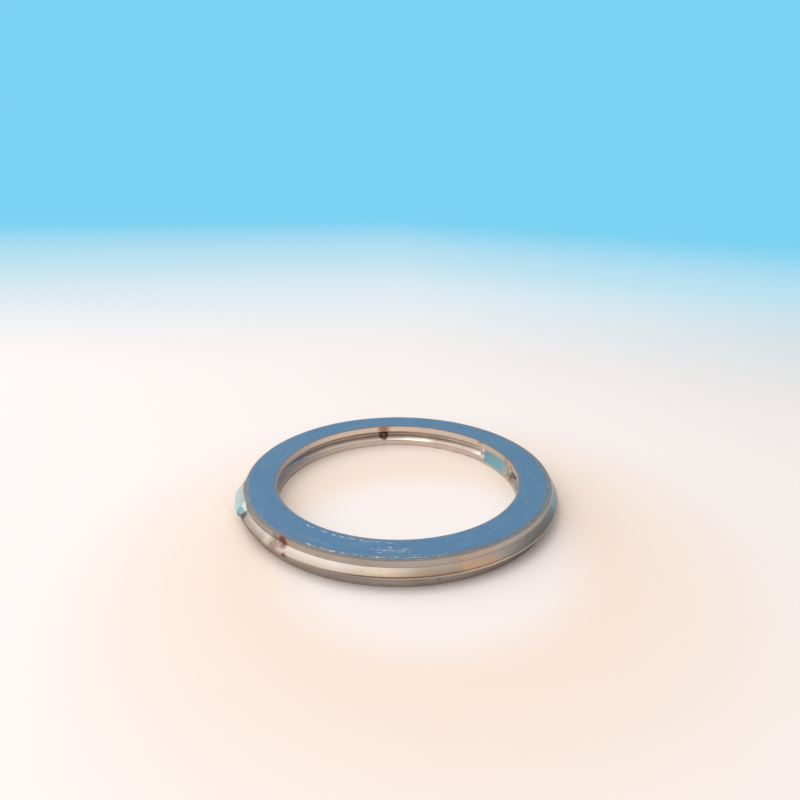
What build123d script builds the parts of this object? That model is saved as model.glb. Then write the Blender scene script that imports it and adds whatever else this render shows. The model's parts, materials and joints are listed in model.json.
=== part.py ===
"""Spiral wound gasket: a V-profile metal strip wound on edge, with a filler strip between its turns.

The winding stands on its filler's lower edge at z = 0, centred on the Z axis. Both strips run
clockwise outwards, seen from above. Each turn is two half circles whose centres alternate along
one line, so the winding is a true spiral made of exact arcs, each tangent to the next. The turns
that lie metal on metal, round the bore and round the outside, are fused into one band.
"""

import os
from dataclasses import dataclass
from math import acos, atan2, cos, degrees, radians, sin, tan

from build123d import *

# Driving dimensions, in millimetres
bore_radius = 22.5  # inner face of the innermost turn, at its flat lips
winding_height = 4.5  # between the filler's two sealing edges
filler_proud = 0.05  # how far the filler stands past the metal, above and below
strip_thickness = 0.2
lip_height = 1.2  # flat band of the strip above and below its rib, on the bore side
groove_depth = 1.25  # of the V, on the strip's bore side
filler_thickness = 1.8  # between two metal turns, at the lips
nest_clearance = 0.01  # between faces that lie against each other
wedge_thin_end = 0.15  # filler left on the slopes where its tapered ends are cut off

# Plan of the winding: half turns, and angles in degrees from +X. A step is from one half turn
# to the next, and an even number of filled ones keeps the outside concentric with the bore.
inner_plain_steps = 5  # metal on metal, round the bore
filled_steps = 4
outer_plain_steps = 5  # metal on metal, round the outside
seam_angle = 7.0  # of the line on which the half turns meet
start_angle = 40.0  # of the strip's cut end in the bore
flat_start = 24.0  # stretch of that end that is pressed nearly flat
flattened_depth = 0.05  # of the V left there, in millimetres
rib_run_in = 3.0  # stretch over which the rib then rises
tail_stretch = 16.0  # free end of the outermost turn
tail_radius = 52.0  # the tail springs out to this wider bend

# Spot weld of the strip's inner end, through the ribs of the first two turns
weld_angle = 9.5
weld_width = 1.4
weld_height = 1.2

mid_height = winding_height / 2
strip_bottom = filler_proud
strip_top = winding_height - filler_proud
rib_half_base = mid_height - strip_bottom - lip_height
slope_angle = atan2(groove_depth, rib_half_base)  # of the rib's sides, from vertical
slope_thickness = strip_thickness / cos(slope_angle)  # of the strip, level across a slope
plain_pitch = slope_thickness + nest_clearance
filled_pitch = strip_thickness + filler_thickness + 2 * nest_clearance


def vee(face, depth, lip, overhang=0.0):
    """Corners of an upright face with a V between two flat lips, from the bottom up.

    The overhang carries the face on past the strip's two edges.
    """
    return [
        (face, strip_bottom - overhang),
        (face, strip_bottom + lip),
        (face + depth, mid_height),
        (face, strip_top - lip),
        (face, strip_top + overhang),
    ]


@dataclass
class Arc:
    """A clockwise arc of the strip, seen from above, about (x, y).

    The radius is that of its bore-side face, where the groove is. The rib is on the outer side.
    """

    x: float
    y: float
    radius: float
    start: float
    sweep: float

    def plane(self, turned=0.0):
        """Upright plane through the centre, with x along the radius at that turn from the start."""
        angle = radians(self.start - turned)
        return Plane(
            origin=(self.x, self.y, 0),
            x_dir=(cos(angle), sin(angle), 0),
            z_dir=(sin(angle), -cos(angle), 0),
        )

    def axis(self):
        return Axis((self.x, self.y, 0), (0, 0, -1))

    def stretch(self, skipped, sweep):
        """Part of this arc."""
        return Arc(self.x, self.y, self.radius, self.start - skipped, sweep)

    def follow(self, radius, sweep):
        """The arc that carries on from this one's end, tangent to it."""
        end = radians(self.start - self.sweep)
        x = self.x + (self.radius - radius) * cos(end)
        y = self.y + (self.radius - radius) * sin(end)
        return Arc(x, y, radius, self.start - self.sweep, sweep)

    def groove(self, depth=groove_depth, inwards=0.0, overhang=0.0):
        """Corners of the bore-side face, or of one a little inside it."""
        return vee(self.radius - inwards, depth, lip_height, overhang)

    def rib(self, depth=groove_depth, outwards=0.0, overhang=0.0):
        """Corners of the outer face, one strip thickness out, or of one a little outside it."""
        bend = atan2(depth, rib_half_base)
        face = self.radius + strip_thickness + outwards
        crest = depth + strip_thickness / cos(bend) - strip_thickness
        return vee(face, crest, lip_height - strip_thickness * tan(bend / 2), overhang)


def wind():
    """The metal strip's half turns, from the bore outwards."""
    pitches = (
        [plain_pitch] * inner_plain_steps
        + [filled_pitch] * filled_steps
        + [plain_pitch] * outer_plain_steps
    )
    turns = [Arc(0, 0, bore_radius, start_angle, start_angle - seam_angle + 180)]
    for pitch in pitches:
        turns.append(turns[-1].follow(turns[-1].radius + pitch / 2, 180))
    return turns


def section(plane, corners):
    with BuildSketch(plane) as sketch:
        with BuildLine():
            Polyline(*corners, close=True)
        make_face()
    return sketch.sketch


def strip_section(arc, turned=0.0, depth=groove_depth):
    return section(arc.plane(turned), arc.groove(depth) + arc.rib(depth)[::-1])


def band(inner, outer):
    """Metal from one arc's groove to the rib of another on its centre, or to its own rib."""
    profile = section(inner.plane(), inner.groove() + outer.rib()[::-1])
    revolve(profile, axis=inner.axis(), revolution_arc=inner.sweep)


def filler_section(inner, outer):
    in_groove = outer.groove(inwards=nest_clearance, overhang=filler_proud)
    on_rib = inner.rib(outwards=nest_clearance, overhang=filler_proud)
    return section(inner.plane(), in_groove + on_rib[::-1])


def filler_wedge(inner, outer):
    """Filler tapered between two metal half turns on different centres.

    The pitch between them swings about its mean as the cosine of the angle from the seam. A full
    band against the outer turn is cut back to clear the inner one, and ends where it gets thin.
    """
    mean_pitch = outer.radius - inner.radius
    seam = radians(inner.start)
    swing = (outer.x - inner.x) * cos(seam) + (outer.y - inner.y) * sin(seam)
    thin_pitch = slope_thickness + 2 * nest_clearance + wedge_thin_end
    thin_at = degrees(acos((thin_pitch - mean_pitch) / swing))
    filled = outer.stretch(thin_at, 180 - thin_at) if swing < 0 else outer.stretch(0, thin_at)
    full_inner = Arc(outer.x, outer.y, outer.radius - filled_pitch, filled.start, filled.sweep)
    clear_of = inner.rib(outwards=nest_clearance, overhang=winding_height)
    core = [(0, clear_of[0][1]), (0, clear_of[-1][1])] + clear_of[::-1]
    with BuildPart() as wedge:
        full_band = filler_section(full_inner, outer)
        revolve(full_band, axis=filled.axis(), revolution_arc=filled.sweep)
        revolve(section(inner.plane(), core), axis=inner.axis(), mode=Mode.SUBTRACT)
    return wedge.part


def weld(inner, outer, angle):
    """Metal fused between two neighbouring ribs, from within one wall to within the other."""
    edge_depth = groove_depth * (1 - weld_height / 2 / rib_half_base)
    root = slope_thickness / 3
    bottom, top = mid_height - weld_height / 2, mid_height + weld_height / 2
    corners = [
        (inner.radius + root + edge_depth, bottom),
        (inner.radius + root + groove_depth, mid_height),
        (inner.radius + root + edge_depth, top),
        (outer.radius + root + edge_depth, top),
        (outer.radius + root + groove_depth, mid_height),
        (outer.radius + root + edge_depth, bottom),
    ]
    sweep = degrees(weld_width / inner.radius)
    turned = (inner.start - angle) % 360 - sweep / 2
    revolve(section(inner.plane(turned), corners), axis=inner.axis(), revolution_arc=sweep)


half_turns = wind()
first_turn, last_turn = half_turns[0], half_turns[-1]
single_start = start_angle - seam_angle  # until the second turn comes round outside it
ribbed_at = flat_start + rib_run_in
held_sweep = last_turn.sweep - tail_stretch
first_filled = inner_plain_steps
last_filled = inner_plain_steps + filled_steps - 1

# Metal strip, from its flattened end in the bore outwards to its tail
with BuildPart() as hoop_strip:
    revolve(
        strip_section(first_turn, depth=flattened_depth),
        axis=first_turn.axis(),
        revolution_arc=flat_start,
    )
    loft(
        [
            strip_section(first_turn, flat_start, flattened_depth),
            strip_section(first_turn, ribbed_at),
        ],
        ruled=True,
    )
    ribbed_start = first_turn.stretch(ribbed_at, single_start - ribbed_at)
    band(ribbed_start, ribbed_start)
    weld(half_turns[0], half_turns[1], weld_angle)

    # Turns round the bore, metal on metal
    band(first_turn.stretch(single_start, 180), half_turns[first_filled - 1])
    band(half_turns[1], half_turns[first_filled])

    # Single turns, with filler on both sides
    for arc in half_turns[first_filled + 1 : last_filled + 1]:
        band(arc, arc)

    # Turns round the outside, metal on metal, and the tail that comes free of them
    outer_band = half_turns[last_filled + 2]
    band(half_turns[last_filled + 1], half_turns[-2])
    band(outer_band.stretch(0, held_sweep), last_turn)
    band(outer_band.stretch(held_sweep, tail_stretch), half_turns[-3])
    held_turn = last_turn.stretch(0, held_sweep)
    tail = held_turn.follow(tail_radius, tail_stretch * last_turn.radius / tail_radius)
    band(tail, tail)

# Filler strip: between each half turn and the one outside it, tapered where the gap opens or closes
with BuildPart() as filler_strip:
    add(filler_wedge(half_turns[first_filled - 1], half_turns[first_filled + 1]))
    for inner, outer in zip(half_turns[first_filled:last_filled], half_turns[first_filled + 2 :]):
        revolve(filler_section(inner, outer), axis=inner.axis(), revolution_arc=inner.sweep)
    add(filler_wedge(half_turns[last_filled], half_turns[last_filled + 2]))

os.makedirs("parts", exist_ok=True)

hoop_strip.part.label = "hoop_strip"
export_step(hoop_strip.part, "parts/hoop_strip.step")

filler_strip.part.label = "filler_strip"
export_step(filler_strip.part, "parts/filler_strip.step")

outside = 2 * (last_turn.radius + strip_thickness)
print(f"winding {outside:.2f} across the outer lips, {2 * bore_radius:.2f} bore, {len(half_turns)} half turns")
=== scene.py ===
"""Spiral wound gasket: the looks of the winding, its blue sealing face, and a small studio.

The metal strip, the filler strip and the coating are surfaces worked out from a few sizes, in
metres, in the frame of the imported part: +Z up, the bore's axis on Z, the floor at z = 0.
Angles are counterclockwise from +X, seen from above.
"""

import json
from math import cos, pi, radians
import bpy
import numpy as np
from bpy.props import FloatProperty, FloatVectorProperty, IntProperty, PointerProperty
from mathutils import Matrix, Vector


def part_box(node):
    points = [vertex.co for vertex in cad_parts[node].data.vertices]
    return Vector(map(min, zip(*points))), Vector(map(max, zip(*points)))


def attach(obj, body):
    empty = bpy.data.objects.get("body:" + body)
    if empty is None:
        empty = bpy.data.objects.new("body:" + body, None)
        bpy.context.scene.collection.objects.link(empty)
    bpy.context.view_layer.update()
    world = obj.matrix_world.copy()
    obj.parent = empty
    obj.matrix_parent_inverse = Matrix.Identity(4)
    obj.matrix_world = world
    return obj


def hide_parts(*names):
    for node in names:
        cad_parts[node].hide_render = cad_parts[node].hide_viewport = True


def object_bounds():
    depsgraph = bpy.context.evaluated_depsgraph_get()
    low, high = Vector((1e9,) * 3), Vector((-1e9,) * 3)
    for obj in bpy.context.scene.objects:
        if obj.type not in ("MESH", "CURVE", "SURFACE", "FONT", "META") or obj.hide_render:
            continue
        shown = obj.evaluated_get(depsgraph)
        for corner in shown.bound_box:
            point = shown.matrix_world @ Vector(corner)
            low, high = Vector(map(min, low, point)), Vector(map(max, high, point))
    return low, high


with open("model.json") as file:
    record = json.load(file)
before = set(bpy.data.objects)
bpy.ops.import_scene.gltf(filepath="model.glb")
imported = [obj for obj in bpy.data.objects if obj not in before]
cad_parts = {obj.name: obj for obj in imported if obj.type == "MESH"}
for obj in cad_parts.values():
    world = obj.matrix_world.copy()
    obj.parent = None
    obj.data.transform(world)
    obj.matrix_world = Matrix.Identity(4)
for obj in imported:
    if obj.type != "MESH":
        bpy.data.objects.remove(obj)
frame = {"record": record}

bl_info = {
    "name": "Spiral Wound Gasket",
    "version": (1, 0, 0),
    "blender": (4, 5, 0),
    "location": "View3D > Sidebar > Gasket",
    "description": "A wound metal strip with a blue coated sealing face, and a studio for it",
    "category": "Object",
}

MM = 0.001
LOWEST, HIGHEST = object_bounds()
BORE = next(m for m in frame["record"]["mounts"] if m["kind"] == "bore")
BORE_RADIUS = BORE["dims"]["r_mm"] * MM
STRIP_LOW, STRIP_HIGH = (corner.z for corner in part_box("hoop_strip"))
STEPS_PER_TURN = 240  # stations along the strip
START_ANGLE = 40.0  # of the strip's cut end in the bore
SEAM_ANGLE = 7.0  # of the line on which the half turns meet
GAP_LEAST = 0.1 * MM  # between turns, for a trace of filler to lie there
FILLER_LEAST = 0.2 * MM  # between turns, for the filler to stand past the metal's edges
FILM_LAP = 0.01 * MM  # how far the coating laps below what it covers
FLOOR_REACH = 4.0  # of the floor, each way from the gasket

# The inner end is pressed askew over this many degrees, and the full rib comes back after it
PRESSED_SWEEP = 22.5
PRESSED_RISE = 4.5
PRESSED_LOW_BEND = 0.5 * MM
PRESSED_CREST_LEVEL = 3.0 * MM
PRESSED_HIGH_BEND = 3.35 * MM
PRESSED_REACH = 0.75 * MM

# The free tail spreads its rib over nearly the whole height, after a short run-in
TAIL_SWEEP = 16.5
TAIL_RUN_IN = 1.5
TAIL_LIP = 0.12 * MM
TAIL_REACH = 1.75 * MM


class WindingSizes(bpy.types.PropertyGroup):
    """Sizes of the wound strips."""

    bore_radius: FloatProperty(
        name="Bore radius", description="To the flat lips of the innermost turn",
        default=BORE_RADIUS, min=0.001, subtype="DISTANCE", unit="LENGTH", precision=5)
    height: FloatProperty(
        name="Height", description="Between the two sealing faces",
        default=HIGHEST.z, min=0.001, subtype="DISTANCE", unit="LENGTH", precision=5)
    thickness: FloatProperty(
        name="Strip thickness", description="Of the metal strip",
        default=0.2 * MM, min=0.00001, subtype="DISTANCE", unit="LENGTH", precision=5)
    plain_pitch: FloatProperty(
        name="Plain pitch", description="From turn to turn where metal lies on metal",
        default=0.33 * MM, min=0.00001, subtype="DISTANCE", unit="LENGTH", precision=5)
    filled_pitch: FloatProperty(
        name="Filled pitch", description="From turn to turn where filler lies between",
        default=2.02 * MM, min=0.00001, subtype="DISTANCE", unit="LENGTH", precision=5)
    plain_steps: IntProperty(
        name="Plain half turns", description="At the bore, and again at the outside",
        default=5, min=1)
    filled_steps: IntProperty(
        name="Filled half turns", description="Half turns with filler", default=4, min=2)


class RibSizes(bpy.types.PropertyGroup):
    """Sizes of the V-shaped rib that stiffens the metal strip."""

    reach: FloatProperty(
        name="Reach", description="Of the strip's middle line, past the lips, at sharp bends",
        default=1.47 * MM, min=0.0, subtype="DISTANCE", unit="LENGTH", precision=5)
    half_base: FloatProperty(
        name="Half base", description="From the crest's level to a lip's bend",
        default=1.12 * MM, min=0.0001, subtype="DISTANCE", unit="LENGTH", precision=5)
    bend_radius: FloatProperty(
        name="Bend radius", description="Where the rib meets a lip",
        default=0.24 * MM, min=0.0, subtype="DISTANCE", unit="LENGTH", precision=5)
    crest_radius: FloatProperty(
        name="Crest radius", description="At the rib's crest",
        default=0.36 * MM, min=0.0, subtype="DISTANCE", unit="LENGTH", precision=5)


class FaceSizes(bpy.types.PropertyGroup):
    """Sizes and colours of the coated sealing faces."""

    inner_radius: FloatProperty(
        name="Inner radius", description="Where the coating begins, on average",
        default=22.73 * MM, subtype="DISTANCE", unit="LENGTH", precision=5)
    outer_radius: FloatProperty(
        name="Outer radius", description="Where the coating ends, on average",
        default=27.66 * MM, subtype="DISTANCE", unit="LENGTH", precision=5)
    blue: FloatVectorProperty(
        name="Blue", description="Colour of the coating", subtype="COLOR",
        size=4, min=0.0, max=1.0, default=(0.072, 0.196, 0.362, 1.0))
    steel: FloatVectorProperty(
        name="Steel", description="Colour of the clean strip", subtype="COLOR",
        size=4, min=0.0, max=1.0, default=(0.56, 0.53, 0.49, 1.0))


# ---------------------------------------------------------------- the strip's path and section


def direction(angle):
    """Unit vectors at angles in degrees."""
    return np.stack([np.cos(np.radians(angle)), np.sin(np.radians(angle))], axis=-1)


def winding(sizes):
    """Stations along the strip, from its inner end: centres (n, 2), radii (n,), angles (n,).

    The strip is a chain of half circles, clockwise outwards. Half turn k has radius r_k, growing
    by half a pitch each time, and c_(k+1) = c_k + (r_k - r_(k+1)) e(end of k) keeps neighbours
    tangent. A point of the strip at a station is c + (r + reach) e(angle).
    """
    step = 360.0 / STEPS_PER_TURN
    pitches = (
        [sizes.plain_pitch] * sizes.plain_steps
        + [sizes.filled_pitch] * sizes.filled_steps
        + [sizes.plain_pitch] * sizes.plain_steps
    )
    centre, radius = np.zeros(2), sizes.bore_radius
    start, sweep = START_ANGLE, START_ANGLE - SEAM_ANGLE + 180.0
    centres, radii, angles = [], [], []
    for pitch in [0.0] + pitches:
        if pitch:
            grown = radius + pitch / 2
            centre = centre + (radius - grown) * direction(start)
            radius, sweep = grown, 180.0
        turned = np.arange(round(sweep / step)) * step
        centres.append(np.repeat(centre[None], len(turned), axis=0))
        radii.append(np.full(len(turned), radius))
        angles.append(start - turned)
        start -= sweep
    centres.append(centre[None])
    radii.append(np.array([radius]))
    angles.append(np.array([start]))
    return np.concatenate(centres), np.concatenate(radii), np.concatenate(angles)


def eased(x):
    """0 to 1 as x goes from 0 to 1, level at both ends: 3 x^2 - 2 x^3."""
    x = np.clip(x, 0.0, 1.0)
    return x * x * (3.0 - 2.0 * x)


def bent(corner, before, after, radius, steps):
    """Points on a bend of the strip's middle line, with the heading from vertical at each.

    corner is (u, z) where the straight runs would meet, before and after are their headings. The
    bend starts radius tan(|after - before| / 2) short of the corner, and from there
    u grows by +-radius (cos before - cos h) and z by +-radius (sin h - sin before).
    """
    fraction = np.linspace(0.0, 1.0, steps + 1)
    heading = before + fraction * (after - before)
    side = np.sign(after - before)
    side[side == 0] = 1.0
    short = radius * np.tan(np.abs(after - before) / 2)
    u = corner[0] - short * np.sin(before) + side * radius * (np.cos(before) - np.cos(heading))
    z = corner[1] - short * np.cos(before) + side * radius * (np.sin(heading) - np.sin(before))
    return u, z, heading


def strip_section(sizes, rib, low_bend, crest_level, reach, high_bend):
    """Both faces of the strip's section at each station, from the bottom up.

    The middle line runs up the lower lip, out along the rib to its crest, back and up the upper
    lip, with round bends. Each face lies half a thickness off it, along (cos h, -sin h), where h
    is the heading from vertical. Returns u and z of the bore face and of the outer face.
    """
    low_bend, crest_level, reach, high_bend = (
        np.asarray(value, float).reshape(-1, 1) for value in (low_bend, crest_level, reach, high_bend)
    )
    upright = np.zeros_like(reach)
    out = np.arctan2(reach, crest_level - low_bend)
    back = -np.arctan2(reach, high_bend - crest_level)
    bends = [
        bent((upright, low_bend), upright, out, rib.bend_radius, 5),
        bent((reach, crest_level), out, back, rib.crest_radius, 8),
        bent((upright, high_bend), back, upright, rib.bend_radius, 5),
    ]
    ends = [(upright, upright + STRIP_LOW, upright), (upright, upright + STRIP_HIGH, upright)]
    runs = [ends[0], *bends, ends[1]]
    u = np.concatenate([run[0] for run in runs], axis=1) + sizes.thickness / 2
    z = np.concatenate([run[1] for run in runs], axis=1)
    heading = np.concatenate([run[2] for run in runs], axis=1)
    off_u, off_z = np.cos(heading) * sizes.thickness / 2, -np.sin(heading) * sizes.thickness / 2
    return (u - off_u, z - off_z), (u + off_u, z + off_z)


def wound_faces(sizes, rib):
    """The strip's bore face and outer face as two grids of points, stations by section.

    The rib is pressed askew at the inner end, and spreads over nearly the whole height at the tail.
    """
    centres, radii, angles = winding(sizes)
    turned = START_ANGLE - angles
    middle = sizes.height / 2
    pressed = 1.0 - eased((turned - PRESSED_SWEEP) / PRESSED_RISE)
    spread = eased((turned - turned[-1] + TAIL_SWEEP) / TAIL_RUN_IN)

    def mix(plain, at_start, at_tail):
        return plain + pressed * (at_start - plain) + spread * (at_tail - plain)

    low_bend = mix(middle - rib.half_base, PRESSED_LOW_BEND, STRIP_LOW + TAIL_LIP)
    high_bend = mix(middle + rib.half_base, PRESSED_HIGH_BEND, STRIP_HIGH - TAIL_LIP)
    crest_level = mix(middle, PRESSED_CREST_LEVEL, middle)
    reach = mix(rib.reach, PRESSED_REACH, TAIL_REACH)
    faces = strip_section(sizes, rib, low_bend, crest_level, reach, high_bend)
    e = direction(angles)
    grids = []
    for u, z in faces:
        plan = centres[:, None, :] + (radii[:, None] + u)[..., None] * e[:, None, :]
        grids.append(np.concatenate([plan, z[..., None]], axis=-1))
    return grids


def filler_faces(sizes, rib):
    """The filler's two sides as grids of points, from its thin start to its thin end.

    It fills from the outer face of one turn to the bore face of the next, one turn later, and its
    edges stand past the metal's. Where the turns all but touch, a trace of it fills the gap and
    stays short of their edges.
    """
    bore_face, outer_face = wound_faces(sizes, rib)
    inner, outer = outer_face[:-STEPS_PER_TURN], bore_face[STEPS_PER_TURN:]
    apart = np.linalg.norm(outer[:, 0, :2] - inner[:, 0, :2], axis=1)
    reached = np.flatnonzero(apart > GAP_LEAST)
    filled = slice(reached[0], reached[-1] + 1)
    from_face = np.where(apart[filled] > FILLER_LEAST, FILM_LAP, STRIP_LOW + 3 * FILM_LAP)
    sides = []
    for side in (inner, outer):
        side = side[filled].copy()
        side[:, 0, 2] = from_face
        side[:, -1, 2] = sizes.height - from_face
        sides.append(side)
    return sides


# ---------------------------------------------------------------- meshes


def loop_faces(rows, columns):
    """Quads of a grid that is closed round its columns, as corner numbers."""
    row = np.arange(rows - 1)[:, None] * columns
    column = np.arange(columns)[None, :]
    following = (column + 1) % columns
    return np.stack(
        [row + column, row + columns + column, row + columns + following, row + following],
        axis=-1,
    ).reshape(-1, 4)


def end_faces(offset, half, flip):
    """Quads across one end of a tube whose section goes up one side and down the other."""
    up = offset + np.arange(half - 1)
    down = offset + 2 * half - 1 - np.arange(half - 1)
    quads = np.stack([up, up + 1, down - 1, down], axis=-1)
    return quads[:, ::-1] if flip else quads


def tube_mesh(name, up_side, down_side, smooth_angle=35.0):
    """A closed mesh of stations joined in order, up one face of the section and down the other.

    UV is the length along the strip and the height, both in centimetres.
    """
    stations, half = up_side.shape[:2]
    points = np.concatenate([up_side, down_side[:, ::-1]], axis=1)
    quads = np.concatenate([
        loop_faces(stations, 2 * half),
        end_faces(0, half, flip=False),
        end_faces((stations - 1) * 2 * half, half, flip=True),
    ])
    steps = np.linalg.norm(np.diff(up_side[:, 0], axis=0), axis=1)
    along = np.concatenate([[0.0], np.cumsum(steps)])
    across = np.concatenate([[0.0], np.cumsum(np.linalg.norm(np.diff(points[0], axis=0), axis=1))])
    uv = np.stack(np.broadcast_arrays(along[:, None], across[None, :]), axis=-1) * 100
    return mesh_object(name, points.reshape(-1, 3), quads, uv.reshape(-1, 2), smooth_angle)


def mesh_object(name, points, quads, uv, smooth_angle):
    """A new object at the origin, with its place in its mesh."""
    old = bpy.data.objects.get(name)
    if old:
        bpy.data.objects.remove(old, do_unlink=True)
    mesh = bpy.data.meshes.new(name)
    mesh.vertices.add(len(points))
    mesh.vertices.foreach_set("co", np.ascontiguousarray(points, dtype=np.float32).ravel())
    mesh.loops.add(quads.size)
    mesh.loops.foreach_set("vertex_index", quads.ravel().astype(np.int32))
    mesh.polygons.add(len(quads))
    mesh.polygons.foreach_set("loop_start", np.arange(0, quads.size, 4, dtype=np.int32))
    layer = mesh.uv_layers.new(name="UVMap")
    layer.data.foreach_set("uv", np.ascontiguousarray(uv[quads.ravel()], dtype=np.float32).ravel())
    mesh.update(calc_edges=True)
    if mesh.validate():
        raise RuntimeError(f"{name} has faces that aren't sound")
    mesh.polygons.foreach_set("use_smooth", np.ones(len(quads), dtype=bool))
    mesh.set_sharp_from_angle(angle=radians(smooth_angle))
    made = bpy.data.objects.new(name, mesh)
    bpy.context.scene.collection.objects.link(made)
    return made


def wander(angle, rng, size, waves):
    """A closed random curve round the circle: a sum of sines of whole frequencies."""
    total = np.zeros_like(angle)
    for frequency in waves:
        total += rng.normal() * np.sin(frequency * np.radians(angle) + rng.uniform(0, 2 * pi))
    return size * total / np.sqrt(len(waves) / 2)


def film_mesh(name, face, outside, inside):
    """A thin ring of coating from one wandering edge to another.

    At angle a, its exposed side runs from radius r_in(a) to r_out(a) as r_in + t (r_out - r_in),
    with t from 0 to 1. Its level is the outside one, and falls to the inside one at either edge,
    as the square root of the distance from it. Its hidden side is level, a little further in.
    UV is the place in plan, in centimetres.
    """
    rng = np.random.default_rng(7)
    angle_step, inner_wander, outer_wander = 0.25, 0.04 * MM, 0.05 * MM
    angle = np.arange(0.0, 360.0, angle_step)
    inner = face.inner_radius + wander(angle, rng, inner_wander, range(3, 90, 4))
    outer = face.outer_radius + wander(angle, rng, outer_wander, range(3, 110, 4))
    edge_width = 0.012  # share of the ring's width over which the edge rounds off
    near_edge = edge_width * np.array([0.0, 0.3, 1.0])
    t = np.concatenate([near_edge, np.linspace(0.03, 0.97, 15), 1.0 - near_edge[::-1]])
    radius = inner[:, None] + t * (outer - inner)[:, None]
    rise = np.sqrt(np.clip(np.minimum(t, 1.0 - t) / edge_width, 0.0, 1.0))
    level = np.broadcast_to(inside + (outside - inside) * rise, radius.shape)
    exposed = np.concatenate(
        [radius[..., None] * direction(angle)[:, None, :], level[..., None]], axis=-1)
    hidden = exposed[:, ::-1].copy()
    hidden[..., 2] = inside - 0.2 * (outside - inside)
    points = np.concatenate([exposed, hidden], axis=1)
    rows, columns = points.shape[:2]
    row, column = np.arange(rows)[:, None], np.arange(columns)[None, :]
    next_row, next_column = (row + 1) % rows, (column + 1) % columns
    quads = np.stack(
        [row * columns + column, row * columns + next_column,
         next_row * columns + next_column, next_row * columns + column],
        axis=-1,
    ).reshape(-1, 4)
    if outside < inside:
        quads = quads[:, ::-1]
    uv = points[..., :2].reshape(-1, 2) * 100
    return mesh_object(name, points.reshape(-1, 3), quads, uv, 50.0)


# ---------------------------------------------------------------- finishes


def linear(red, green, blue):
    """A colour written as 0 to 255 screen values, as the shader wants it."""
    screen = np.array([red, green, blue]) / 255.0
    value = np.where(screen <= 0.04045, screen / 12.92, ((screen + 0.055) / 1.055) ** 2.4)
    return (*value.tolist(), 1.0)


FAR_BLUE = linear(124, 210, 242)


def on_ring(angle, radius, level):
    """A place on the winding, from an angle in degrees and millimetres."""
    e = direction(angle) * radius * MM
    return (float(e[0]), float(e[1]), level * MM)


def put(tree, kind, inputs=(), **settings):
    """A new node. Each input is a socket to link, or a value to set."""
    made = tree.nodes.new(kind)
    for name, value in settings.items():
        setattr(made, name, value)
    for key, value in inputs.items() if isinstance(inputs, dict) else enumerate(inputs):
        if isinstance(value, bpy.types.NodeSocket):
            tree.links.new(value, made.inputs[key])
        elif value is not None:
            made.inputs[key].default_value = value
    return made


def calculate(tree, operation, *values):
    """Result of a sum on numbers."""
    return put(tree, "ShaderNodeMath", values, operation=operation).outputs[0]


def vector_math(tree, operation, *values, output="Vector"):
    """Result of a sum on vectors; its output is Value where that is a number."""
    return put(tree, "ShaderNodeVectorMath", values, operation=operation).outputs[output]


def flattened(tree, vector):
    """The level part of a vector."""
    return vector_math(tree, "MULTIPLY", vector, (1.0, 1.0, 0.0))


def ramp(tree, value, low, high, to_low=0.0, to_high=1.0):
    """Eased change from to_low to to_high as value goes from low to high."""
    inputs = {0: value, 1: low, 2: high, 3: to_low, 4: to_high}
    return put(tree, "ShaderNodeMapRange", inputs, interpolation_type="SMOOTHSTEP").outputs[0]


def blend(tree, factor, under, over):
    """Colour that goes from under to over as the factor goes from 0 to 1."""
    inputs = {0: factor, 6: under, 7: over}
    return put(tree, "ShaderNodeMix", inputs, data_type="RGBA").outputs[2]


def noise(tree, vector, scale, detail=3.0, roughness=0.5):
    """Smooth noise from 0 to 1 about a half, with scale features to the metre."""
    inputs = {"Vector": vector, "Scale": scale, "Detail": detail, "Roughness": roughness}
    return put(tree, "ShaderNodeTexNoise", inputs).outputs["Fac"]


def new_group(name, inputs, outputs):
    """An empty shader node group with its sockets, and its two end nodes."""
    group = bpy.data.node_groups.new(name, "ShaderNodeTree")
    for in_out, sockets in (("INPUT", inputs), ("OUTPUT", outputs)):
        for socket_name, kind, default in sockets:
            socket = group.interface.new_socket(socket_name, in_out=in_out, socket_type=kind)
            if default is not None:
                socket.default_value = default
    return group, group.nodes.new("NodeGroupInput"), group.nodes.new("NodeGroupOutput")


VECTOR, VALUE = "NodeSocketVector", "NodeSocketFloat"


def mark_group():
    """Mark round a place: 1 within it, falling to 0 at its radius, with a ragged edge."""
    group, given, result = new_group(
        "Mark",
        [("Vector", VECTOR, None), ("Centre", VECTOR, None), ("Radius", VALUE, 0.001),
         ("Solid Part", VALUE, 0.3), ("Raggedness", VALUE, 0.4), ("Grain", VALUE, 1500.0)],
        [("Mask", VALUE, None)])
    apart = vector_math(group, "DISTANCE", given.outputs["Vector"], given.outputs["Centre"],
                        output="Value")
    share = calculate(group, "DIVIDE", apart, given.outputs["Radius"])
    rough = noise(group, given.outputs["Vector"], given.outputs["Grain"], 4.0, 0.6)
    shift = calculate(group, "MULTIPLY", calculate(group, "SUBTRACT", rough, 0.5),
                      calculate(group, "MULTIPLY", given.outputs["Raggedness"], 2.0))
    mask = ramp(group, calculate(group, "ADD", share, shift), given.outputs["Solid Part"], 1.0,
                1.0, 0.0)
    group.links.new(mask, result.inputs["Mask"])
    return group


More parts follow.
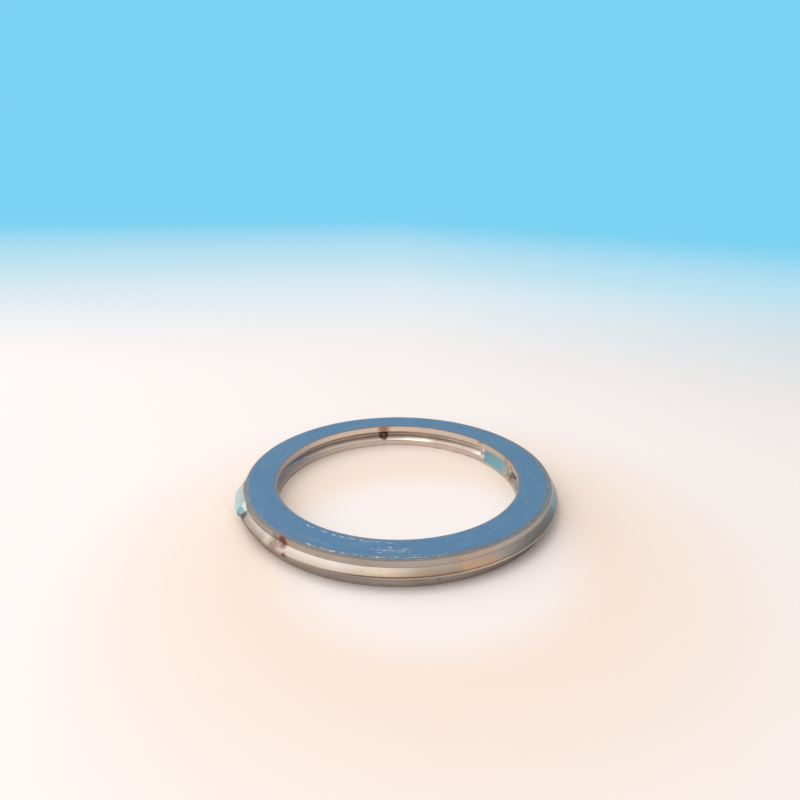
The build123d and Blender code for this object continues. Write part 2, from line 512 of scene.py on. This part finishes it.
def sector_group():
    """Stretch of the ring: 1 within an angle of a direction, falling to 0 at a wider one."""
    group, given, result = new_group(
        "Sector",
        [("Vector", VECTOR, None), ("Towards", VECTOR, None), ("Edge Cosine", VALUE, 0.9),
         ("Full Cosine", VALUE, 1.0), ("Raggedness", VALUE, 0.0)],
        [("Mask", VALUE, None)])
    unit = vector_math(group, "NORMALIZE", flattened(group, given.outputs["Vector"]))
    cosine = vector_math(group, "DOT_PRODUCT", unit, given.outputs["Towards"], output="Value")
    rough = calculate(group, "SUBTRACT", noise(group, given.outputs["Vector"], 400.0), 0.5)
    moved = calculate(group, "MULTIPLY_ADD", rough, given.outputs["Raggedness"], cosine)
    mask = ramp(group, moved, given.outputs["Edge Cosine"], given.outputs["Full Cosine"])
    group.links.new(mask, result.inputs["Mask"])
    return group


def hoop_group():
    """Band round the axis: 1 at a radius, falling to 0 at a half width from it."""
    group, given, result = new_group(
        "Hoop",
        [("Vector", VECTOR, None), ("Radius", VALUE, 0.025), ("Half Width", VALUE, 0.0005)],
        [("Mask", VALUE, None)])
    radius = vector_math(group, "LENGTH", flattened(group, given.outputs["Vector"]), output="Value")
    off = calculate(group, "ABSOLUTE", calculate(group, "SUBTRACT", radius, given.outputs["Radius"]))
    share = calculate(group, "DIVIDE", off, given.outputs["Half Width"])
    group.links.new(ramp(group, share, 0.0, 1.0, 1.0, 0.0), result.inputs["Mask"])
    return group


def grain_group():
    """Fine lines along the strip, from its own coordinates: noise drawn out along U."""
    group, given, result = new_group(
        "Rolled Grain",
        [("Vector", VECTOR, None), ("Along", VALUE, 3.0), ("Across", VALUE, 400.0)],
        [("Lines", VALUE, None)])
    stretch = put(group, "ShaderNodeCombineXYZ",
                  [given.outputs["Along"], given.outputs["Across"], 1.0]).outputs[0]
    drawn = vector_math(group, "MULTIPLY", given.outputs["Vector"], stretch)
    group.links.new(noise(group, drawn, 1.0, 4.0, 0.65), result.inputs["Lines"])
    return group


def turned_group():
    """Fine lines round the axis: noise of the place, drawn out along the turns."""
    group, given, result = new_group(
        "Turned Grain",
        [("Vector", VECTOR, None), ("Along", VALUE, 200.0), ("Across", VALUE, 4000.0)],
        [("Lines", VALUE, None)])
    x, y, _ = put(group, "ShaderNodeSeparateXYZ", [given.outputs["Vector"]]).outputs
    radius = vector_math(group, "LENGTH", flattened(group, given.outputs["Vector"]), output="Value")
    along, across = given.outputs["Along"], given.outputs["Across"]
    drawn = put(group, "ShaderNodeCombineXYZ", [
        calculate(group, "MULTIPLY", x, along),
        calculate(group, "MULTIPLY", y, along),
        calculate(group, "MULTIPLY", radius, across),
    ]).outputs[0]
    group.links.new(noise(group, drawn, 1.0, 3.0, 0.5), result.inputs["Lines"])
    return group


class Painter:
    """Places the shared groups in one material, on its object coordinates."""

    def __init__(self, name, groups):
        self.material = bpy.data.materials.new(name)
        self.material.use_nodes = True
        self.tree = self.material.node_tree
        self.shader = self.tree.nodes["Principled BSDF"]
        self.groups = groups
        coordinates = put(self.tree, "ShaderNodeTexCoord")
        self.place, self.uv = coordinates.outputs["Object"], coordinates.outputs["UV"]

    def group(self, name, **inputs):
        """Output of a shared group, with its inputs by name in lower case."""
        made = put(self.tree, "ShaderNodeGroup", node_tree=self.groups[name])
        self.tree.links.new(inputs.pop("vector", self.place), made.inputs["Vector"])
        for key, value in inputs.items():
            socket = made.inputs[key.replace("_", " ").title()]
            if isinstance(value, bpy.types.NodeSocket):
                self.tree.links.new(value, socket)
            else:
                socket.default_value = value
        return made.outputs[0]

    def mark(self, angle, radius, level, size, solid=0.3, ragged=0.4, grain=1500.0):
        """Mask of a mark, placed by an angle in degrees and sizes in millimetres."""
        return self.group("Mark", centre=on_ring(angle, radius, level), radius=size * MM,
                          solid_part=solid, raggedness=ragged, grain=grain)

    def sector(self, angle, spread, ragged=0.0, full=0.0):
        """Mask of a stretch of the ring, by angles in degrees from its middle."""
        towards = direction(angle)
        return self.group("Sector", towards=(float(towards[0]), float(towards[1]), 0.0),
                          edge_cosine=cos(radians(spread)), full_cosine=cos(radians(full)),
                          raggedness=ragged)

    def hoop(self, radius, half_width):
        """Mask of a band round the axis, in millimetres."""
        return self.group("Hoop", radius=radius * MM, half_width=half_width * MM)

    def both(self, *masks):
        """Mask of where all the given ones overlap."""
        product = masks[0]
        for mask in masks[1:]:
            product = calculate(self.tree, "MULTIPLY", product, mask)
        return product

    def level(self, low, high):
        """Mask that rises from 0 to 1 between two heights in millimetres."""
        z = put(self.tree, "ShaderNodeSeparateXYZ", [self.place]).outputs["Z"]
        return ramp(self.tree, z, low * MM, high * MM)

    def below(self, low, high):
        """Mask that falls from 1 to 0 between two heights in millimetres."""
        return calculate(self.tree, "SUBTRACT", 1.0, self.level(low, high))

    def link(self, value, name):
        self.tree.links.new(value, self.shader.inputs[name])

    def bump(self, height, strength, distance, normal=None):
        inputs = {"Height": height, "Strength": strength, "Distance": distance}
        if normal is not None:
            inputs["Normal"] = normal
        return put(self.tree, "ShaderNodeBump", inputs).outputs["Normal"]


def rolled_steel(groups, colour):
    """Satin rolled strip with a warm tint, brown welds and small rust spots; painted shade, painted
    highlights and painted reflections are set into its colour by angle round the ring.
    """
    p = Painter("Rolled steel", groups)
    tree = p.tree
    outside, bore = p.hoop(30.6, 3.0), p.hoop(21.4, 3.4)
    lines = p.group("Rolled Grain", vector=p.uv, along=2.0, across=260.0)
    patches = noise(tree, p.place, 260.0, 3.0)

    base = blend(tree, ramp(tree, patches, 0.35, 0.75, 0.0, 0.35), colour, linear(176, 158, 140))
    tints_and_painted_light = [
        # golden to orange along the near side, as painted shade that dims the lamp's reflection on
        # the near slopes, darker round 236°, with a painted orange highlight at 296°
        (p.both(outside, p.sector(277, 26, 0.03, 8), p.level(1.9, 2.6)), linear(150, 116, 64), 0.92),
        (p.both(outside, p.sector(296, 9, 0.01, 3), p.level(1.9, 2.6)), linear(246, 184, 132), 0.75),
        (p.both(outside, p.sector(236, 32, 0.03, 20)), linear(134, 114, 98), 0.82),
        # painted shade: neutral and darker round the right, and darker short of the tail on the left
        (p.both(outside, p.sector(330, 30)), linear(128, 124, 121), 0.8),
        (p.both(outside, p.sector(213, 12, 0.02, 7)), linear(108, 92, 80), 0.75),
        (p.both(outside, p.sector(2, 20, 0.0, 8)), linear(142, 112, 104), 0.75),
        # painted shade: low on the outside the strip is darkened to dull brown, where it mirrors the
        # shadow on the floor
        (p.both(outside, p.below(1.3, 2.3)), linear(102, 78, 60), 0.92),
        # painted reflection: the bore's far side, lips and groove, is lightened pinkish, as the warm
        # floor it mirrors; the bore is lavender on the left and blue-grey on the right
        (p.both(bore, p.sector(90, 70)), linear(238, 222, 212), 0.8),
        (p.both(bore, p.sector(90, 64), p.level(2.0, 2.3), p.below(3.1, 3.4)),
         linear(212, 178, 156), 0.8),
        # painted shade dimming the lamp's reflection low in the far groove, and a painted highlight
        # on its lower slope
        (p.both(bore, p.sector(58, 16, 0.0, 9), p.level(0.9, 1.2), p.below(2.1, 2.4)),
         linear(112, 90, 74), 0.85),
        (p.both(bore, p.sector(80, 8, 0.0, 3), p.level(1.0, 1.3), p.below(1.9, 2.2)),
         linear(255, 252, 244), 0.9),
        (p.both(bore, p.sector(178, 40)), linear(168, 166, 186), 0.7),
        (p.both(bore, p.sector(146, 14, 0.02, 5), p.level(1.2, 1.6), p.below(2.6, 3.1)),
         linear(122, 140, 186), 0.6),
        (p.both(bore, p.sector(356, 14)), linear(150, 166, 180), 0.7),
        # painted shade: the lips outside are darkened brown, dimming their reflection of the floor
        (p.both(outside, p.level(3.2, 3.5), p.sector(265, 75)), linear(98, 86, 83), 0.9),
        # painted reflection: both ends of the strip are tinted pale blue and cyan, as the blue
        # backdrop mirrored in their flat faces
        (p.both(outside, p.sector(194.5, 9.8, 0.0, 8.8), p.level(0.9, 1.6)),
         linear(186, 224, 230), 0.95),
        (p.both(bore, p.sector(29, 11, 0.0, 7), p.level(0.4, 0.7), p.below(3.0, 3.3)),
         linear(60, 200, 240), 0.95),
    ]
    burns = [
        # weld at the strip's inner end, with its burnt surround
        (p.mark(11, 23.0, 2.2, 2.2, 0.4, 0.45, 900.0), linear(112, 90, 76), 0.8),
        # weld on the far side, a dark ring round a pale middle
        (p.mark(98, 23.3, 2.3, 1.4, 0.6, 0.3, 1200.0), linear(96, 68, 54), 0.9),
        # weld on the outside, with its maroon tint and rust
        (p.mark(231, 28.5, 3.9, 1.35, 0.4, 0.4, 900.0), linear(124, 66, 62), 0.85),
        (p.mark(228, 28.9, 3.2, 1.9, 0.1, 0.9, 1800.0), linear(116, 92, 80), 0.55),
        (p.mark(233.5, 29.8, 2.3, 0.75, 0.35, 0.4), linear(128, 76, 48), 0.8),
    ]
    marks_and_painted_light = burns + [
        # a dark and a bright spot in the weld at the inner end, and tint on the lip above it
        (p.mark(9, 23.4, 1.7, 0.5, 0.4, 0.2), linear(48, 40, 36), 0.8),
        (p.mark(13, 23.2, 2.6, 0.35, 0.5, 0.2), linear(206, 190, 172), 0.8),
        (p.mark(17, 22.5, 3.9, 1.3, 0.2, 0.3), linear(176, 112, 84), 0.6),
        # tint on the corner of the cut end in the bore, and two painted glints where its rib rises
        # below it
        (p.mark(40.5, 22.6, 4.3, 1.0, 0.2, 0.4), linear(138, 100, 84), 0.6),
        (p.mark(38.5, 22.6, 1.4, 0.7, 0.6, 0.2), linear(255, 254, 250), 1.0),
        (p.mark(38.8, 22.8, 2.7, 0.6, 0.6, 0.2), linear(255, 254, 250), 1.0),
        # the pale middle of the weld on the far side, and tint on the lip above it
        (p.mark(98, 23.6, 2.2, 0.6, 0.4, 0.2, 1200.0), linear(176, 146, 124), 0.9),
        (p.mark(98, 22.5, 4.0, 1.9, 0.25, 0.35), linear(140, 80, 58), 0.75),
        # rust low on the near side
        (p.mark(283, 28.7, 1.0, 0.5, 0.4, 0.3), linear(98, 62, 44), 0.8),
        # a dark corner at the tail's cut end; where the tail starts to spread, painted shade dims a
        # glint to the blue of a painted reflection, with a painted shadow just past it
        (p.mark(187.2, 30.2, 3.3, 0.9, 0.3, 0.3), linear(82, 74, 68), 0.8),
        (p.mark(202.8, 29.6, 2.9, 1.2, 0.5, 0.1), linear(112, 146, 156), 0.9),
        (p.mark(205.6, 29.3, 2.8, 1.2, 0.4, 0.3), linear(90, 78, 68), 0.85),
    ]
    for mask, tint, strength in tints_and_painted_light + marks_and_painted_light:
        base = blend(tree, calculate(tree, "MULTIPLY", mask, strength), base, tint)
    burnt = burns[0][0]
    for mask, _, _ in burns[1:]:
        burnt = calculate(tree, "MAXIMUM", burnt, mask)
    p.link(base, "Base Color")
    satin = ramp(tree, lines, 0.3, 0.7, 0.2, 0.36)
    p.link(calculate(tree, "MULTIPLY_ADD", burnt, 0.25, satin), "Roughness")
    p.shader.inputs["Metallic"].default_value = 1.0
    fine = p.bump(lines, 0.12, 0.02 * MM)
    pits = calculate(tree, "MULTIPLY", noise(tree, p.place, 2600.0, 3.0), burnt)
    p.link(p.bump(pits, 0.8, 0.12 * MM, fine), "Normal")
    return p.material


def coating(groups, colour):
    """Matt blue coating with rubbed edges and bare flecks along the near side."""
    p = Painter("Blue coating", groups)
    tree = p.tree
    cloud = noise(tree, p.place, 180.0, 4.0, 0.55)
    base = blend(tree, ramp(tree, cloud, 0.3, 0.7, 0.0, 0.4), colour, linear(88, 134, 168))
    streaks = p.group("Turned Grain", along=240.0, across=4200.0)
    base = blend(tree, ramp(tree, streaks, 0.5, 0.75, 0.0, 0.35), base, linear(128, 154, 172))
    base = blend(tree, ramp(tree, streaks, 0.48, 0.28, 0.0, 0.4), base, linear(62, 104, 142))
    rim = calculate(tree, "MAXIMUM", p.hoop(22.75, 0.5), p.hoop(27.7, 0.5))
    patchy = ramp(tree, noise(tree, p.place, 700.0, 4.0, 0.6), 0.35, 0.6)
    base = blend(tree, calculate(tree, "MULTIPLY", p.both(rim, patchy), 0.75), base,
                 linear(120, 128, 138))
    dashes = p.group("Turned Grain", along=1200.0, across=6500.0)
    near_inner = p.both(p.hoop(23.5, 0.45), p.sector(247, 30, 0.0, 12))
    near_outer = p.both(p.hoop(27.45, 0.4), p.sector(262, 36, 0.0, 14))
    middle = p.both(p.hoop(25.6, 1.8), p.sector(268, 10))
    density = calculate(tree, "MAXIMUM", near_inner, near_outer)
    density = calculate(tree, "MAXIMUM", density, calculate(tree, "MULTIPLY", middle, 0.85))
    fleck = ramp(tree, calculate(tree, "MULTIPLY_ADD", density, 0.21, dashes), 0.73, 0.79)
    base = blend(tree, fleck, base, linear(226, 222, 216))
    p.link(base, "Base Color")
    p.link(calculate(tree, "MULTIPLY", fleck, 0.6), "Metallic")
    p.link(ramp(tree, fleck, 0.0, 1.0, 0.62, 0.3), "Roughness")
    tooth = noise(tree, p.place, 5200.0, 3.0, 0.6)
    p.link(p.bump(tooth, 0.25, 0.02 * MM), "Normal")
    return p.material


def mineral_paper(groups):
    """Grey-blue edge of the filler strip, under the coating."""
    p = Painter("Mineral paper", groups)
    fibre = noise(p.tree, p.place, 1500.0, 4.0)
    base = blend(p.tree, ramp(p.tree, fibre, 0.3, 0.7), linear(88, 118, 146), linear(112, 132, 150))
    p.link(base, "Base Color")
    p.shader.inputs["Roughness"].default_value = 0.8
    return p.material


def pale_floor(warm_radius):
    """Pale table top: painted warm light and shade round the ring, as light thrown off the metal,
    white beyond it and light blue far off.

    Far off it is seen in its own colour, which blends into the background.
    """
    material = bpy.data.materials.new("Pale floor")
    material.use_nodes = True
    tree = material.node_tree
    place = put(tree, "ShaderNodeTexCoord").outputs["Object"]
    axes = put(tree, "ShaderNodeSeparateXYZ", [place]).outputs
    to_right = calculate(tree, "MULTIPLY_ADD", axes["X"], 0.3, axes["Y"])
    reach = calculate(tree, "MULTIPLY_ADD", calculate(tree, "ABSOLUTE", axes["X"]), 0.4, to_right)
    near = blend(tree, ramp(tree, reach, 0.06, 0.33), linear(247, 243, 244), linear(200, 229, 241))
    colour = blend(tree, ramp(tree, reach, 0.2, 0.62), near, FAR_BLUE)
    # painted warm light and shade on the floor round the ring, as light thrown off the metal
    apart = vector_math(tree, "DISTANCE", place, (0.005, -0.018, 0.0), output="Value")
    painted_glow = ramp(tree, apart, warm_radius * 0.9, warm_radius * 2.2, 1.0, 0.0)
    outside = ramp(tree, apart, warm_radius * 0.6, warm_radius, 0.05, 0.9)
    colour_with_painted_glow = blend(tree, calculate(tree, "MULTIPLY", painted_glow, outside), near, linear(246, 229, 214))
    shader = tree.nodes["Principled BSDF"]
    tree.links.new(colour_with_painted_glow, shader.inputs["Base Color"])
    shader.inputs["Roughness"].default_value = 0.6
    shader.inputs["Specular IOR Level"].default_value = 0.2
    own = put(tree, "ShaderNodeEmission", {"Color": colour})
    light = put(tree, "ShaderNodeLightPath").outputs
    seen = calculate(tree, "MAXIMUM", light["Is Camera Ray"], light["Is Glossy Ray"])
    distant = calculate(tree, "MULTIPLY", ramp(tree, axes["Y"], 0.06, 0.2), seen)
    mixed = put(tree, "ShaderNodeMixShader", [distant, shader.outputs[0], own.outputs[0]])
    tree.links.new(mixed.outputs[0], tree.nodes["Material Output"].inputs["Surface"])
    return material


def room_light():
    """Soft room round the table, by direction: blue at the far horizon, dim browns and greys
    beside and behind, brighter overhead. Seen straight, the background is plain pale blue."""
    world = bpy.data.worlds.new("Room")
    world.use_nodes = True
    tree = world.node_tree
    place = put(tree, "ShaderNodeTexCoord").outputs["Generated"]
    x, y, z = put(tree, "ShaderNodeSeparateXYZ", [place]).outputs
    sides = blend(tree, ramp(tree, x, -0.8, 0.8), (0.62, 0.60, 0.58, 1), (0.30, 0.30, 0.31, 1))
    behind = blend(tree, ramp(tree, y, 0.2, -0.8), sides, (0.34, 0.27, 0.22, 1))
    horizon = calculate(tree, "MULTIPLY", ramp(tree, y, 0.2, 0.7), ramp(tree, z, 0.22, 0.12))
    low = blend(tree, horizon, behind, (0.42, 0.80, 0.95, 1))
    room = blend(tree, ramp(tree, z, 0.45, 0.9), low, (0.9, 0.87, 0.84, 1))
    seen = put(tree, "ShaderNodeLightPath").outputs["Is Camera Ray"]
    colour = blend(tree, seen, room, FAR_BLUE)
    tree.links.new(colour, tree.nodes["Background"].inputs["Color"])
    tree.nodes["Background"].inputs["Strength"].default_value = 1.0
    return world


# ---------------------------------------------------------------- operators


def shared_groups():
    """The node groups that the finishes share, made once."""
    makers = {
        "Mark": mark_group,
        "Sector": sector_group,
        "Hoop": hoop_group,
        "Rolled Grain": grain_group,
        "Turned Grain": turned_group,
    }
    return {name: bpy.data.node_groups.get(name) or make() for name, make in makers.items()}


class GASKET_OT_strip(bpy.types.Operator):
    """Wind the V-profile metal strip"""

    bl_idname = "gasket.strip"
    bl_label = "Wind Metal Strip"

    def execute(self, context):
        scene = context.scene
        bore_face, outer_face = wound_faces(scene.gasket_winding, scene.gasket_rib)
        strip = tube_mesh("wound_strip", bore_face, outer_face)
        strip.data.materials.append(rolled_steel(shared_groups(), scene.gasket_face.steel))
        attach(strip, "root")
        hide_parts("hoop_strip")
        return {"FINISHED"}


class GASKET_OT_filler(bpy.types.Operator):
    """Lay the filler strip between the metal turns"""

    bl_idname = "gasket.filler"
    bl_label = "Lay Filler Strip"

    def execute(self, context):
        scene = context.scene
        sizes = scene.gasket_winding
        inner_side, outer_side = filler_faces(sizes, scene.gasket_rib)
        filler = tube_mesh("filler_turns", inner_side, outer_side)
        filler.data.materials.append(mineral_paper(shared_groups()))
        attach(filler, "root")
        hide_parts("filler_strip")
        return {"FINISHED"}


class GASKET_OT_coating(bpy.types.Operator):
    """Coat both sealing faces"""

    bl_idname = "gasket.coating"
    bl_label = "Coat Sealing Faces"

    def execute(self, context):
        scene = context.scene
        face, height = scene.gasket_face, scene.gasket_winding.height
        blue = coating(shared_groups(), face.blue)
        for name, outside, inside in (
            ("upper_coating", height, STRIP_HIGH - FILM_LAP),
            ("lower_coating", 0.0, STRIP_LOW + FILM_LAP),
        ):
            film = film_mesh(name, face, outside, inside)
            film.data.materials.append(blue)
            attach(film, "root")
            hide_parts("filler_strip")
        return {"FINISHED"}


class GASKET_OT_studio(bpy.types.Operator):
    """Set up the floor, the lights, the background and the camera"""

    bl_idname = "gasket.studio"
    bl_label = "Set Up Studio"

    def execute(self, context):
        scene = context.scene
        sides = ((-1, -1), (1, -1), (1, 1), (-1, 1))
        corners = [(FLOOR_REACH * x, FLOOR_REACH * y, 0) for x, y in sides]
        mesh = bpy.data.meshes.new("floor")
        mesh.from_pydata(corners, [], [(0, 1, 2, 3)])
        floor = bpy.data.objects.new("floor", mesh)
        floor.data.materials.append(pale_floor(HIGHEST.x))
        scene.collection.objects.link(floor)
        scene.world = room_light()

        lamp = bpy.data.lights.new("softbox", "AREA")
        lamp.shape, lamp.size = "SQUARE", 0.9
        lamp.energy, lamp.color = 2.7, (1.0, 0.97, 0.95)
        softbox = bpy.data.objects.new("softbox", lamp)
        softbox.location = Vector((-0.34, -0.04, 0.42))
        softbox.rotation_euler = softbox.location.to_track_quat("Z", "Y").to_euler()
        scene.collection.objects.link(softbox)

        camera = bpy.data.cameras.new("camera")
        camera.lens, camera.sensor_width, camera.clip_start = 28.93, 36.0, 0.005
        viewer = bpy.data.objects.new("camera", camera)
        looking_down, lean = radians(20.545), 0.004
        tilt = Matrix.Rotation(pi / 2 - looking_down, 4, "X") @ Matrix.Rotation(lean, 4, "Z")
        viewer.matrix_world = Matrix.Translation((0.38 * MM, -108.67 * MM, 59.99 * MM)) @ tilt
        scene.collection.objects.link(viewer)
        scene.camera = viewer
        scene.view_settings.view_transform = "Standard"
        return {"FINISHED"}


class GASKET_PT_panel(bpy.types.Panel):
    """Sizes, colours and the steps that build the gasket"""

    bl_label = "Gasket"
    bl_idname = "GASKET_PT_panel"
    bl_space_type = "VIEW_3D"
    bl_region_type = "UI"
    bl_category = "Gasket"

    def draw(self, context):
        for name, group in GROUPS.items():
            box = self.layout.box()
            for size in group.__annotations__:
                box.prop(getattr(context.scene, name), size)
        for operator in OPERATORS:
            self.layout.operator(operator.bl_idname)


GROUPS = {"gasket_winding": WindingSizes, "gasket_rib": RibSizes, "gasket_face": FaceSizes}
OPERATORS = (GASKET_OT_strip, GASKET_OT_filler, GASKET_OT_coating, GASKET_OT_studio)
CLASSES = (*GROUPS.values(), *OPERATORS, GASKET_PT_panel)


def register():
    for cls in CLASSES:
        bpy.utils.register_class(cls)
    for name, group in GROUPS.items():
        setattr(bpy.types.Scene, name, PointerProperty(type=group))


def unregister():
    for name in GROUPS:
        delattr(bpy.types.Scene, name)
    for cls in reversed(CLASSES):
        bpy.utils.unregister_class(cls)


def main():
    register()
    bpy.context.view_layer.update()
    bpy.ops.gasket.strip()
    bpy.ops.gasket.filler()
    bpy.ops.gasket.coating()
    bpy.ops.gasket.studio()


if __name__ == "__main__":
    main()
